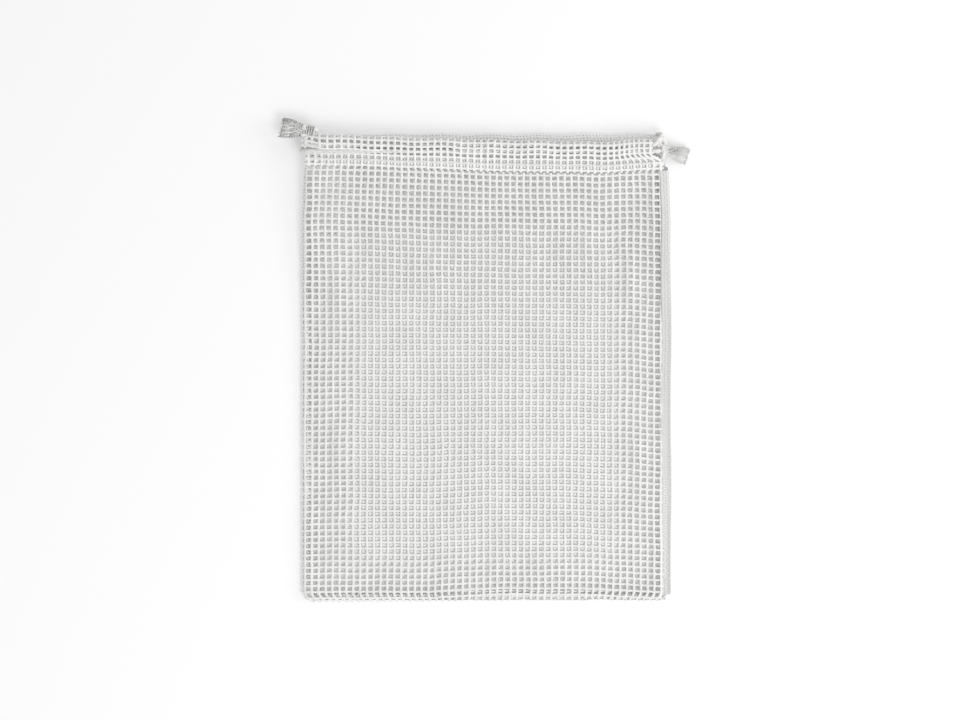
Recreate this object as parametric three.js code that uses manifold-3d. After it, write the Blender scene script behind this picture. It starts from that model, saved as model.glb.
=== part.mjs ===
// A flat cotton net laundry bag with a casing round its mouth and two drawcords.
// Millimetres. X across the bag, Y from the bottom seam to the mouth, Z up from the floor it lies on.
import * as THREE from "three";
import { mergeVertices } from "three/addons/utils/BufferGeometryUtils.js";
import Module from "manifold-3d";

const wasm = await Module();
wasm.setup();

// ---- driving dimensions ----
const bagWidth = 300; // across the body of the bag
const bagLength = 380; // bottom edge to the top of the casing
const mouthDrawIn = 3.5; // each side runs in this much towards the mouth
const mouthTaper = 72; // length over which the sides run in to the mouth
const bottomCorner = 9; // radius of the two bottom corners
const clothThickness = 1.0; // one layer of net
const pieceGap = 0.3; // air left between touching pieces

const seamAllowance = 10; // cloth turned to the inside along the sides and the bottom
const turnedLayers = 2; // layers in each turned allowance

const casingDepth = 25; // folded edge to raw edge
const casingRise = 3; // from the stitched band up to the roof of the channel
const leftCasingInset = 4; // the casing's left end stops short of the side seam
const rightCasingInset = 11; // the right knot has drawn the casing's right end further in
const casingFoldRadius = 2.2;
const mouthGap = 6.0; // air between the back and the front casing
const frontSetBack = 6.0; // the front casing lies this much further from the mouth than the back one

const cordDiameter = 4.0;
const cordClearance = 0.4; // above and below a cord in its channel
const cordAir = 0.6; // between the two cords, which lie side by side in a casing
const channelAir = 1.2; // beside the cords
const knotBulk = 1.55; // the knot's radius, in cord diameters
const tailEndRadius = 3.1; // the cut ends fray and spread
const tailAir = 0.4; // between the two tails' tips

const threadWidth = 1.4;
const threadHeight = 0.6;

// ---- sizes that follow ----
const halfWidth = bagWidth / 2;
const halfMouth = halfWidth - mouthDrawIn;
const turnedThickness = turnedLayers * clothThickness;
const channelHeight = cordDiameter + 2 * cordClearance;
const channelDepth = 2 * cordDiameter + cordAir + 2 * channelAir;
const cordSpacing = cordDiameter + cordAir;
const knotRadius = knotBulk * cordDiameter;
const tailSpacing = 2 * tailEndRadius + tailAir;
const casingBand = casingDepth - channelDepth - casingRise - 2 * clothThickness; // stitched flat
const casingHeight = channelHeight + 2 * clothThickness;
const casingStart = bagLength - casingDepth;
const leftCasingEnd = leftCasingInset - halfMouth;
const rightCasingEnd = halfMouth - rightCasingInset;
const casingLength = rightCasingEnd - leftCasingEnd;
const frontCasingFloor = casingHeight + mouthGap;
const taperStart = bagLength - mouthTaper;

const backCordHeight = casingHeight / 2;
const frontCordHeight = frontCasingFloor + casingHeight / 2;
const middleHeight = (backCordHeight + frontCordHeight) / 2;
const channelStart = casingBand + casingRise + clothThickness;
const channelEnd = casingDepth - clothThickness;
const channelMiddle = casingStart + (channelStart + channelEnd) / 2;
const upperLane = channelMiddle + cordSpacing / 2; // the left cord's way through the back casing
const lowerLane = channelMiddle - cordSpacing / 2; // the right cord's way

// The front panel lies over the bottom seam and rises to the front casing.
const allowanceFloor = clothThickness + pieceGap;
const allowanceTop = allowanceFloor + turnedThickness;
const seamThreadFloor = allowanceTop + pieceGap;
const frontPanelFloor = seamThreadFloor + threadHeight + pieceGap;
const backPanelEnd = casingStart - pieceGap;
const frontPanelEnd = backPanelEnd - frontSetBack;
const frontSlope = (frontCasingFloor - frontPanelFloor) / frontPanelEnd;
const frontUnderside = (y) => frontPanelFloor + frontSlope * Math.min(y, frontPanelEnd);

// Half the bag's width at a height y above the bottom.
function halfWidthAt(y) {
  const along = Math.max(0, (y - taperStart) / (bagLength - taperStart));
  return halfWidth + (halfMouth - halfWidth) * along;
}

// ---- materials ----
const net = { color: 0xe4e3df, roughness: 0.95, metalness: 0 };
const turnedNet = { color: 0xe0dfda, roughness: 0.95, metalness: 0 };
const thread = { color: 0xecebe7, roughness: 0.8, metalness: 0 };
const cord = { color: 0xdddcd6, roughness: 0.95, metalness: 0 };

// ---- shape helpers ----
function solidOf(geometry) {
  const bare = geometry.index ? geometry.toNonIndexed() : geometry.clone();
  bare.deleteAttribute("normal");
  bare.deleteAttribute("uv");
  const merged = mergeVertices(bare, 1e-4);
  const vertProperties = merged.attributes.position.array;
  const triVerts = new Uint32Array(merged.index.array);
  return new wasm.Manifold(new wasm.Mesh({ numProp: 3, vertProperties, triVerts }));
}

function geometryOf(solid) {
  const mesh = solid.getMesh();
  const geometry = new THREE.BufferGeometry();
  geometry.setAttribute("position", new THREE.BufferAttribute(mesh.vertProperties, 3));
  geometry.setIndex(new THREE.BufferAttribute(mesh.triVerts, 1));
  geometry.computeVertexNormals();
  return geometry;
}

// A closed body through equal-sided sections. Each section's points also carry their place
// u, v in its own plane, in which they run anticlockwise about the direction of travel.
function loft(sections) {
  const sides = sections[0].length;
  const positions = sections.flat().flatMap((p) => [p.x, p.y, p.z]);
  const triangles = [];
  for (let s = 0; s + 1 < sections.length; s += 1) {
    for (let i = 0; i < sides; i += 1) {
      const next = (i + 1) % sides;
      const a = s * sides + i;
      const b = s * sides + next;
      triangles.push(a, b, b + sides, a, b + sides, a + sides);
    }
  }
  const flat = (section) => section.map((p) => new THREE.Vector2(p.u, p.v));
  const last = (sections.length - 1) * sides;
  for (const [a, b, c] of THREE.ShapeUtils.triangulateShape(flat(sections[0]), []))
    triangles.push(a, c, b);
  for (const [a, b, c] of THREE.ShapeUtils.triangulateShape(flat(sections.at(-1)), []))
    triangles.push(last + a, last + b, last + c);
  const geometry = new THREE.BufferGeometry();
  geometry.setAttribute("position", new THREE.Float32BufferAttribute(positions, 3));
  geometry.setIndex(triangles);
  geometry.computeVertexNormals();
  return geometry;
}

// ---- the cloth ----
function panelOutline(end) {
  const shape = new THREE.Shape();
  const topHalf = halfWidthAt(end);
  shape.moveTo(-halfWidth + bottomCorner, 0);
  shape.lineTo(halfWidth - bottomCorner, 0);
  shape.absarc(halfWidth - bottomCorner, bottomCorner, bottomCorner, -Math.PI / 2, 0);
  shape.lineTo(halfWidth, taperStart);
  shape.lineTo(topHalf, end);
  shape.lineTo(-topHalf, end);
  shape.lineTo(-halfWidth, taperStart);
  shape.lineTo(-halfWidth, bottomCorner);
  shape.absarc(-halfWidth + bottomCorner, bottomCorner, bottomCorner, Math.PI, Math.PI * 1.5);
  return shape;
}

function panel(end) {
  const options = { depth: clothThickness, bevelEnabled: false, curveSegments: 6 };
  return new THREE.ExtrudeGeometry(panelOutline(end), options);
}

function frontPanel() {
  const rise = new THREE.Matrix4().set(
    1, 0, 0, 0,
    0, 1, 0, 0,
    0, frontSlope, 1, frontPanelFloor,
    0, 0, 0, 1,
  );
  return panel(frontPanelEnd).applyMatrix4(rise);
}

// The casing's section: a flat stitched band, then a channel under the folded edge.
function casingSection() {
  const shape = new THREE.Shape();
  const roofStart = casingBand + casingRise;
  const r = casingFoldRadius;
  shape.moveTo(0, 0);
  shape.lineTo(casingDepth - r, 0);
  shape.absarc(casingDepth - r, r, r, -Math.PI / 2, 0);
  shape.lineTo(casingDepth, casingHeight - r);
  shape.absarc(casingDepth - r, casingHeight - r, r, 0, Math.PI / 2);
  shape.lineTo(roofStart, casingHeight);
  shape.lineTo(casingBand, turnedThickness);
  shape.lineTo(0, turnedThickness);
  const channel = new THREE.Path();
  channel.moveTo(channelStart, clothThickness);
  channel.lineTo(channelStart, casingHeight - clothThickness);
  channel.lineTo(channelEnd, casingHeight - clothThickness);
  channel.lineTo(channelEnd, clothThickness);
  shape.holes.push(channel);
  return shape;
}

function casing(start, floor) {
  const options = { depth: casingLength, bevelEnabled: false, curveSegments: 3 };
  const geometry = new THREE.ExtrudeGeometry(casingSection(), options);
  // the section's x and y become Y and Z, and it is drawn out along X
  const turn = new THREE.Matrix4().makeBasis(
    new THREE.Vector3(0, 1, 0),
    new THREE.Vector3(0, 0, 1),
    new THREE.Vector3(1, 0, 0),
  );
  geometry.applyMatrix4(turn);
  return geometry.translate(leftCasingEnd, start, floor);
}

// A section across a side, from points [distance from the middle, height] on the right.
function sideSection(side, y, profile) {
  const points = profile.map(([x, z]) => ({ x: side * x, y, z, u: z, v: side * x }));
  return side > 0 ? points.reverse() : points;
}

// The left or right seam: a wall between the panels and an allowance turned inwards.
function sideSeam(side) {
  const stations = [bottomCorner, taperStart, frontPanelEnd, backPanelEnd];
  const sections = stations.map((y) => {
    const edge = halfWidthAt(y);
    const roof = frontUnderside(y) - pieceGap;
    const profile = [
      [edge, allowanceFloor],
      [edge, roof],
      [edge - clothThickness, roof],
      [edge - clothThickness, allowanceTop],
      [edge - seamAllowance, allowanceTop],
      [edge - seamAllowance, allowanceFloor],
    ];
    return sideSection(side, y, profile);
  });
  return loft(sections);
}

function bottomSeam() {
  const reach = halfWidth - seamAllowance - pieceGap;
  const sections = [-reach, reach].map((x) => {
    const profile = [
      [0, allowanceFloor],
      [seamAllowance, allowanceFloor],
      [seamAllowance, allowanceTop],
      [clothThickness, allowanceTop],
      [clothThickness, frontPanelFloor - pieceGap],
      [0, frontPanelFloor - pieceGap],
    ];
    return profile.map(([u, v]) => ({ x, y: u, z: v, u, v }));
  });
  return loft(sections);
}

// ---- rows of stitches ----
function stitchRow(length) {
  return new THREE.BoxGeometry(length, threadWidth, threadHeight);
}

function sideStitchRow(side) {
  const stations = [bottomCorner + seamAllowance, taperStart, backPanelEnd - pieceGap];
  const sections = stations.map((y) => {
    const middle = halfWidthAt(y) - seamAllowance / 2;
    const low = middle - threadWidth / 2;
    const high = middle + threadWidth / 2;
    const floor = seamThreadFloor;
    const roof = seamThreadFloor + threadHeight;
    return sideSection(side, y, [[low, floor], [high, floor], [high, roof], [low, roof]]);
  });
  return loft(sections);
}

// ---- the cords ----
// The two heights that a cord runs at, and how far each casing is set back from the mouth.
const frontLevel = { height: frontCordHeight, setBack: frontSetBack };
const backLevel = { height: backCordHeight, setBack: 0 };
const middleSetBack = frontSetBack / 2;

// A place near a casing's end: how far out beyond it and how far up from the cord's lane
// towards the mouth, both in cord diameters, and how much of the way it is from its level
// to the middle between the casings.
function placeBeyond(side, lane, [out, up, towardsMiddle], level = frontLevel) {
  const x = (side < 0 ? leftCasingEnd : rightCasingEnd) + side * out * cordDiameter;
  const setBack = THREE.MathUtils.lerp(level.setBack, middleSetBack, towardsMiddle);
  const z = THREE.MathUtils.lerp(level.height, middleHeight, towardsMiddle);
  return new THREE.Vector3(x, lane - setBack + up * cordDiameter, z);
}

// The points of each way are chosen by hand. A cord leaves its knot, enters its own end of the
// front casing, turns round the bag's far corner and comes back through the back casing.
const leftCord = {
  side: -1,
  lane: upperLane,
  knot: [0.15, 2.85, 0.45],
  tip: [5.6, 3.3],
  tipSideways: [0.22, 0.975],
  fromKnot: [[0.5, 1.78, 0.2], [0.95, 0.9, 0.05], [0.9, 0.25, 0], [0.2, 0, 0], [-1.1, 0, 0]],
  farTurn: [[-1.1, 0, 0], [0.15, 0.2, 0], [0.9, 1.0, 0.16], [1.4, 1.35, 0.53], [1.6, 1.5, 1]],
};
const rightCord = {
  side: 1,
  lane: lowerLane,
  knot: [1.7, 0, 1],
  tip: [6.5, -1.8],
  tipSideways: [0.5, 0.866],
  fromKnot: [[1.3, -0.1, 0.41], [0.8, -0.05, 0.14], [0.2, 0, 0], [-1.1, 0, 0]],
  farTurn: [[-1.1, 0, 0], [0.2, 0, 0], [1.05, -0.15, 0.16], [1.55, -0.35, 0.53], [1.75, -0.45, 1]],
};
const insideShares = [0.25, 0.5, 0.75]; // of the way along the casing

// A cord's points at one level, from its knot to the middle of its turn at the far corner.
function levelRoute({ side, lane, fromKnot, farTurn }, level) {
  const out = fromKnot.map((place) => placeBeyond(side, lane, place, level));
  const far = farTurn.map((place) => placeBeyond(-side, lane, place, level));
  const inside = insideShares.map((share) => out.at(-1).clone().lerp(far[0], share));
  return [...out, ...inside, ...far];
}

function routeOf(way) {
  const back = levelRoute(way, backLevel);
  return [...levelRoute(way, frontLevel), ...back.slice(0, -1).reverse()];
}

function drawcord(way, knotCentre) {
  const sides = 10;
  const section = new THREE.Shape();
  for (let i = 0; i < sides; i += 1) {
    const angle = (2 * Math.PI * i) / sides;
    const [x, y] = [Math.cos(angle), Math.sin(angle)].map((c) => (c * cordDiameter) / 2);
    if (i === 0) section.moveTo(x, y);
    else section.lineTo(x, y);
  }
  const route = routeOf(way);
  const extrudePath = new THREE.CatmullRomCurve3(route, false, "centripetal");
  // equal steps from point to point, so that the turns get as many as the long straights
  extrudePath.getUtoTmapping = (share) => share;
  const tube = new THREE.ExtrudeGeometry(section, { steps: 3 * (route.length - 1), extrudePath });
  const room = new THREE.SphereGeometry(knotRadius + pieceGap, 20, 14);
  room.translate(knotCentre.x, knotCentre.y, knotCentre.z);
  return geometryOf(solidOf(tube).subtract(solidOf(room)));
}

function knot(centre) {
  return new THREE.SphereGeometry(knotRadius, 20, 14).translate(centre.x, centre.y, centre.z);
}

// One of a cord's two ends, from its knot to a tip that has frayed and spread.
function tail(centre, tip, sideways) {
  const end = tip.clone().addScaledVector(sideways, tailSpacing / 2);
  const start = centre.clone().addScaledVector(sideways, cordSpacing / 2);
  const length = start.distanceTo(end);
  const profile = [
    new THREE.Vector2(0, 0),
    new THREE.Vector2(cordDiameter / 2, 0),
    new THREE.Vector2(tailEndRadius, length - tailEndRadius / 2),
    new THREE.Vector2(tailEndRadius * 0.8, length),
    new THREE.Vector2(0, length),
  ];
  const geometry = new THREE.LatheGeometry(profile, 10);
  const along = end.clone().sub(start).normalize();
  const turn = new THREE.Quaternion().setFromUnitVectors(new THREE.Vector3(0, 1, 0), along);
  geometry.applyQuaternion(turn).translate(start.x, start.y, start.z);
  const room = new THREE.SphereGeometry(knotRadius + pieceGap, 20, 14);
  room.translate(centre.x, centre.y, centre.z);
  return geometryOf(solidOf(geometry).subtract(solidOf(room)));
}

// ---- the assembly ----
const bag = new THREE.Group();

function add(name, geometry, look, x = 0, y = 0, z = 0) {
  const mesh = new THREE.Mesh(geometry, new THREE.MeshStandardMaterial(look));
  mesh.name = name;
  mesh.position.set(x, y, z);
  bag.add(mesh);
}

add("back_panel", panel(backPanelEnd), net);
add("front_panel", frontPanel(), net);
add("back_hem", casing(casingStart, 0), turnedNet);
add("front_hem", casing(casingStart - frontSetBack, frontCasingFloor), turnedNet);
add("left_side_seam", sideSeam(-1), turnedNet);
add("right_side_seam", sideSeam(1), turnedNet);
add("bottom_seam", bottomSeam(), turnedNet);

const bandMiddle = casingStart + casingBand / 2;
const onBand = turnedThickness + pieceGap + threadHeight / 2;
const casingStitches = casingLength - 2 * pieceGap;
const casingMiddle = (leftCasingEnd + rightCasingEnd) / 2;
const bottomStitches = 2 * (halfWidth - 2 * seamAllowance);
const onAllowance = seamThreadFloor + threadHeight / 2;
add("back_hem_thread", stitchRow(casingStitches), thread, casingMiddle, bandMiddle, onBand);
const frontBandMiddle = bandMiddle - frontSetBack;
const onFrontBand = frontCasingFloor + onBand;
add("front_hem_thread", stitchRow(casingStitches), thread, casingMiddle, frontBandMiddle, onFrontBand);
add("bottom_seam_thread", stitchRow(bottomStitches), thread, 0, seamAllowance / 2, onAllowance);
add("left_seam_thread", sideStitchRow(-1), thread);
add("right_seam_thread", sideStitchRow(1), thread);

const tailTipHeight = tailEndRadius + pieceGap;
for (const [name, way] of [["left", leftCord], ["right", rightCord]]) {
  const { side, lane } = way;
  const centre = placeBeyond(side, lane, way.knot);
  const tip = placeBeyond(side, lane, [...way.tip, 1]).setZ(tailTipHeight);
  const sideways = new THREE.Vector3(...way.tipSideways, 0).normalize();
  add(`${name}_drawcord`, drawcord(way, centre), cord);
  add(`${name}_knot`, knot(centre), cord);
  add(`${name}_tail_upper`, tail(centre, tip, sideways), cord);
  add(`${name}_tail_lower`, tail(centre, tip, sideways.clone().negate()), cord);
}

// The frame's origin is the middle of the cloth's footprint, on the floor.
bag.position.set(0, -bagLength / 2, 0);

export default bag;
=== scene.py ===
import math

import bpy
import numpy as np
from bpy.props import FloatProperty, FloatVectorProperty, IntProperty, PointerProperty
from bpy.types import Operator, Panel, PropertyGroup
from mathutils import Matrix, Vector


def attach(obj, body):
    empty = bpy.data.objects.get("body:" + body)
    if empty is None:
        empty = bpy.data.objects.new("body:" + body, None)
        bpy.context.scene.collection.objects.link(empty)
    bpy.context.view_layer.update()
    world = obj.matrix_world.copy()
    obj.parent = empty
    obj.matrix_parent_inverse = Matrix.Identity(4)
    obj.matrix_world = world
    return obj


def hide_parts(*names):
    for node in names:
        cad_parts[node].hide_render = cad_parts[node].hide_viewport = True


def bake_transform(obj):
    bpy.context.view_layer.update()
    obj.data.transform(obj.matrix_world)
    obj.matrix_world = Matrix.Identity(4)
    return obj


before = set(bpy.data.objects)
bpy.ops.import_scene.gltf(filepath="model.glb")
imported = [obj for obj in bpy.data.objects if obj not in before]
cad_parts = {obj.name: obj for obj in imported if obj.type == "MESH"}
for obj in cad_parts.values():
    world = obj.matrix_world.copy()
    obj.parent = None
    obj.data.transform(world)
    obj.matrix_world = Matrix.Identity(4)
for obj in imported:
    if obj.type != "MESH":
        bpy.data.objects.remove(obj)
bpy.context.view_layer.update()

bl_info = {
    "name": "Mesh Laundry Bag",
    "version": (1, 0, 0),
    "blender": (4, 5, 0),
    "location": "View3D > Sidebar > Laundry Bag",
    "description": "Knits a flat cotton net laundry bag with a casing, seams, stitches and two drawcords",
    "category": "Add Mesh",
}

MM = 0.001

# ---- the bag's own sizes, in millimetres in the frame ----
BOTTOM = -190.0
TOP = 190.0
LEFT_EDGE = -150.0
RIGHT_EDGE = 150.0
FRONT_RIGHT_EDGE = 145.2  # the front cloth stops short of the right edge
MOUTH_HALF = 146.5
TAPER_START = 118.0
CORNER = 9.0
SEAM_LINE = 5.0  # from an edge in to its row of stitches
CASING_LEFT = -142.5
CASING_RIGHT = 135.5
FRONT_LEVEL = 5.0  # middle of the front cloth at the bottom seam
BACK_LEVEL = 1.0
BACK_HEAD = 165.2  # where the back cloth goes over into its casing
FRONT_COLUMNS, FRONT_ROWS = 53, 70
BACK_COLUMNS, BACK_ROWS = 54, 71
LEFT_COLUMNS = 27  # of either net, in its left half
FRONT_REST = 2.3  # height at which the front cloth rests in the middle
LOWEST_SETTLED = 2.15  # the front cloth settles no lower than this
TWIST = 0.0022  # one turn of a net yarn, in metres

# ---- the cords' own sizes, in millimetres in the frame ----
CORD = 4.0
FRONT_HEIGHT, BACK_HEIGHT, MIDDLE_HEIGHT = 16.2, 3.4, 9.8
FRONT_SET_BACK, MIDDLE_SET_BACK = 6.0, 3.0
# Each cord's ends: "tied" is its knot's shift, size and turn; "tail" is where the frayed end
# starts beside the knot, how its tip is shifted, its half width and thickness, and its curl.
CORD_WAYS = {
    "left": {
        "side": -1,
        "lane": 185.8,
        "knot": (0.15, 2.85, 0.45),
        "tip": (5.6, 3.3),
        "from_knot": ((0.5, 1.78, 0.2), (0.98, 1.15, 0.06), (0.82, 0.45, 0), (0.15, 0.02, 0), (-1.1, 0, 0)),
        "far_turn": ((-1.1, 0, 0), (0.15, 0.2, 0), (0.9, 1.0, 0.16), (1.4, 1.35, 0.53), (1.6, 1.5, 1)),
        "tied": ((0.0, 0.0, 0.0), (1.95, 1.4, 1.3), -0.5),
        "tail": ((4.2, -2.2, 3.0), (-0.4, -0.5, -0.8), (8.3, 2.6), 0.9),
        # painted light: lifts the left frayed end out of the shade cast by its knot and the casing
        "shade": 1.19,
        "seed": 11,
    },
    "right": {
        "side": 1,
        "lane": 181.2,
        "knot": (1.7, 0, 1),
        "tip": (6.5, -1.8),
        "from_knot": ((1.3, -0.1, 0.41), (0.8, -0.05, 0.14), (0.2, 0, 0), (-1.1, 0, 0)),
        "far_turn": ((-1.1, 0, 0), (0.2, 0, 0), (1.05, -0.15, 0.16), (1.55, -0.35, 0.53), (1.75, -0.45, 1)),
        "tied": ((-1.6, 0.0, 0.6), (1.8, 3.1, 2.3), 0.25),
        "tail": ((0.0, 0.0, 0.0), (1.0, 0.0, -5.4), (6.6, 2.6), 0.8),
        "shade": 1.0,
        "seed": 23,
    },
}

# Each net material's name and its lightness beside the net's own colour. These are lit and shaded copies of
# one cotton. The front net is darkened with painted shade. The back net and its casing are lightened with
# painted light against the shade the front casts on them. The rolled strip at the right seam is darkened with
# painted shade.
PLAIN_FINISH = ("net_cotton", 1.0)
FRONT_PAINTED_SHADE = ("front_net_painted_shade", 0.945)
BACK_PAINTED_LIGHT = ("back_net_painted_light", 1.07)
ROLL_PAINTED_SHADE = ("rolled_net_painted_shade", 0.76)

SETTLED = {}  # how far the simulated cloth moved, once it has run


# ---- settings ----
def length(name, text, value, low=0.0):
    """A setting that is a length in metres."""
    return FloatProperty(name=name, description=text, default=value, min=low, unit="LENGTH", precision=5)


def amount(name, text, value, low=0.0):
    return FloatProperty(name=name, description=text, default=value, min=low)


def tint(name, text, value):
    return FloatVectorProperty(
        name=name, description=text, default=value, subtype="COLOR", size=3, min=0.0, max=1.0
    )


class NetSettings(PropertyGroup):
    """How the net is knitted"""

    column_width: length("Column Width", "Width of a lengthways yarn", 0.0024, 0.0003)
    row_width: length("Row Width", "Width of a crossways yarn", 0.0021, 0.0003)
    thickness: length("Thickness", "Thickness of a yarn across the cloth", 0.0008, 0.0002)
    wave: length("Wave", "How far a yarn passes over and under the others", 0.00012)
    wander: length("Wander", "How far the yarns stray from straight lines", 0.0011)
    seed: IntProperty(name="Seed", description="Which set of irregularities", default=4, min=0)
    colour: tint("Net Colour", "Colour of the net's cotton", (0.89, 0.888, 0.882))


class CordSettings(PropertyGroup):
    """How the drawcords are laid and finished"""

    diameter: length("Diameter", "Across a drawcord", CORD * MM, 0.001)
    lay: length("Lay", "Length of one full turn of the strands", 0.013, 0.004)
    frayed_strands: IntProperty(
        name="Frayed Strands", description="Yarns round each cut end", default=46, min=6, max=200
    )
    colour: tint("Cord Colour", "Colour of the cords", (0.80, 0.795, 0.78))


class StitchSettings(PropertyGroup):
    """The rows of machine stitches"""

    length: length("Stitch Length", "Length of one stitch", 0.0031, 0.0005)
    spacing: length("Spacing", "From one stitch to the next", 0.0036, 0.0005)
    width: length("Stitch Width", "Width of the thread", 0.0009, 0.0002)
    colour: tint("Thread Colour", "Colour of the sewing thread", (0.87, 0.867, 0.86))


class StageSettings(PropertyGroup):
    """Floor, camera and lights"""

    camera_height: length("Camera Height", "Height of the camera above the floor", 2.172, 0.5)
    focal_length: amount("Focal Length", "Length of the lens, in millimetres", 100.0, 10.0)
    sky: amount("Sky", "Strength of the light from all round", 0.69)
    key: amount("Key Light", "Power of the large soft light, in watts", 21.0)
    floor_glow: amount("Floor Glow", "Light that the lit floor gives off itself", 0.165)
    floor_colour: tint("Floor Colour", "Colour of the floor", (0.82, 0.82, 0.82))


def net_settings():
    return bpy.context.scene.bag_net


def cord_settings():
    return bpy.context.scene.bag_cord


# ---- node helpers ----
def fill(tree, node, sockets):
    """Links a node's inputs, or gives them a value."""
    for key, value in sockets.items():
        if isinstance(value, bpy.types.NodeSocket):
            tree.links.new(value, node.inputs[key])
        else:
            node.inputs[key].default_value = value


def node_of(tree, kind, sockets=(), **settings):
    """A new node's outputs, once it has its settings and its inputs."""
    node = tree.nodes.new(kind)
    for key, value in settings.items():
        setattr(node, key, value)
    fill(tree, node, dict(sockets))
    return node.outputs


def maths(tree, operation, *values):
    return node_of(tree, "ShaderNodeMath", enumerate(values), operation=operation)[0]


def product(tree, value, *others):
    for other in others:
        value = maths(tree, "MULTIPLY", value, other)
    return value


def vector_maths(tree, operation, *values):
    return node_of(tree, "ShaderNodeVectorMath", enumerate(values), operation=operation)[0]


def combined(tree, **parts):
    return node_of(tree, "ShaderNodeCombineXYZ", parts)[0]


def named(tree, name):
    return node_of(
        tree, "GeometryNodeInputNamedAttribute", {"Name": name}, data_type="FLOAT_VECTOR"
    )["Attribute"]


def store(tree, geometry, name, value):
    sockets = {"Geometry": geometry, "Name": name, "Value": value}
    return node_of(
        tree, "GeometryNodeStoreNamedAttribute", sockets, data_type="FLOAT_VECTOR", domain="POINT"
    )[0]


def new_tree(name, inputs):
    """A geometry node tree with named inputs. Gives the tree, its input sockets and its output node."""
    tree = bpy.data.node_groups.new(name, "GeometryNodeTree")
    tree.interface.new_socket("Geometry", in_out="INPUT", socket_type="NodeSocketGeometry")
    for kind, labels in inputs.items():
        for label in labels:
            tree.interface.new_socket(label, in_out="INPUT", socket_type="NodeSocket" + kind)
    tree.interface.new_socket("Geometry", in_out="OUTPUT", socket_type="NodeSocketGeometry")
    entry = tree.nodes.new("NodeGroupInput")
    return tree, entry.outputs, tree.nodes.new("NodeGroupOutput")


def close_tree(tree, leave, geometry, material):
    """Realizes the instances, sets the material and closes the tree."""
    real = node_of(tree, "GeometryNodeRealizeInstances", {0: geometry})[0]
    done = node_of(tree, "GeometryNodeSetMaterial", {"Geometry": real, "Material": material})[0]
    tree.links.new(done, leave.inputs[0])


# ---- objects and meshes ----
def link_object(name, data):
    piece = bpy.data.objects.new(name, data)
    bpy.context.scene.collection.objects.link(piece)
    return piece


def mesh_of(name, points, edges=(), faces=()):
    """A mesh from points in millimetres."""
    mesh = bpy.data.meshes.new(name)
    mesh.from_pydata((np.array(points) * MM).tolist(), edges, faces)
    return mesh


def add_vectors(mesh, name, vectors):
    """Gives each of a mesh's points a vector."""
    attribute = mesh.attributes.new(name, "FLOAT_VECTOR", "POINT")
    attribute.data.foreach_set("vector", np.array(vectors, np.float32).reshape(-1))


def grid_faces(tall, wide):
    """The faces of a grid, and its points' numbers."""
    index = np.arange(tall * wide).reshape(tall, wide)
    corners = (index[:-1, :-1], index[:-1, 1:], index[1:, 1:], index[1:, :-1])
    return np.stack(corners, axis=-1).reshape(-1, 4), index


def distances(line):
    """How far along a line each of its points lies."""
    steps = np.linalg.norm(np.diff(line, axis=0), axis=1)
    return np.concatenate(([0.0], np.cumsum(steps)))


def full_circle(count):
    return np.linspace(0, 2 * math.pi, count, endpoint=False)


def grown(name, guide, tree, values):
    """Runs a tree on a guide mesh and gives the result as a plain mesh object."""
    carrier = link_object(name + "_guide", guide)
    modifier = carrier.modifiers.new("Grow", "NODES")
    modifier.node_group = tree
    for item in tree.interface.items_tree:
        if item.item_type == "SOCKET" and item.in_out == "INPUT" and item.name in values:
            modifier[item.identifier] = values[item.name]
    depsgraph = bpy.context.evaluated_depsgraph_get()
    mesh = bpy.data.meshes.new_from_object(carrier.evaluated_get(depsgraph), depsgraph=depsgraph)
    carrier.modifiers.remove(modifier)
    bpy.data.objects.remove(carrier)
    bpy.data.meshes.remove(guide)
    if len(mesh.polygons) == 0:
        raise RuntimeError(f"{name} came out empty")
    mesh.name = name
    for attribute in ("place", "cloth_normal", "around", "along"):
        if attribute in mesh.attributes:
            mesh.attributes.remove(mesh.attributes[attribute])
    mesh.shade_smooth()
    return link_object(name, mesh)


# ---- the net's tree ----
NET_INPUTS = {
    "Int": ("Columns", "Rows", "Steps"),
    "Float": ("Column Width", "Row Width", "Thickness", "Wave", "Bulge", "Wander", "Seed"),
    "Vector": ("Cloth Size",),
    "Material": ("Material",),
}


def on_cloth(tree, guide, value, place):
    """A guide's own value at a place on its cloth, which runs from 0 to 1 each way."""
    sockets = {"Mesh": guide, "Value": value, "UV Map": named(tree, "UVMap"), "Sample UV": place}
    return node_of(tree, "GeometryNodeSampleUVSurface", sockets, data_type="FLOAT_VECTOR")["Value"]


def kept_inside(tree, place):
    low = vector_maths(tree, "MAXIMUM", place, (0.0005, 0.0005, 0.0))
    return vector_maths(tree, "MINIMUM", low, (0.9995, 0.9995, 0.0))


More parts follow.
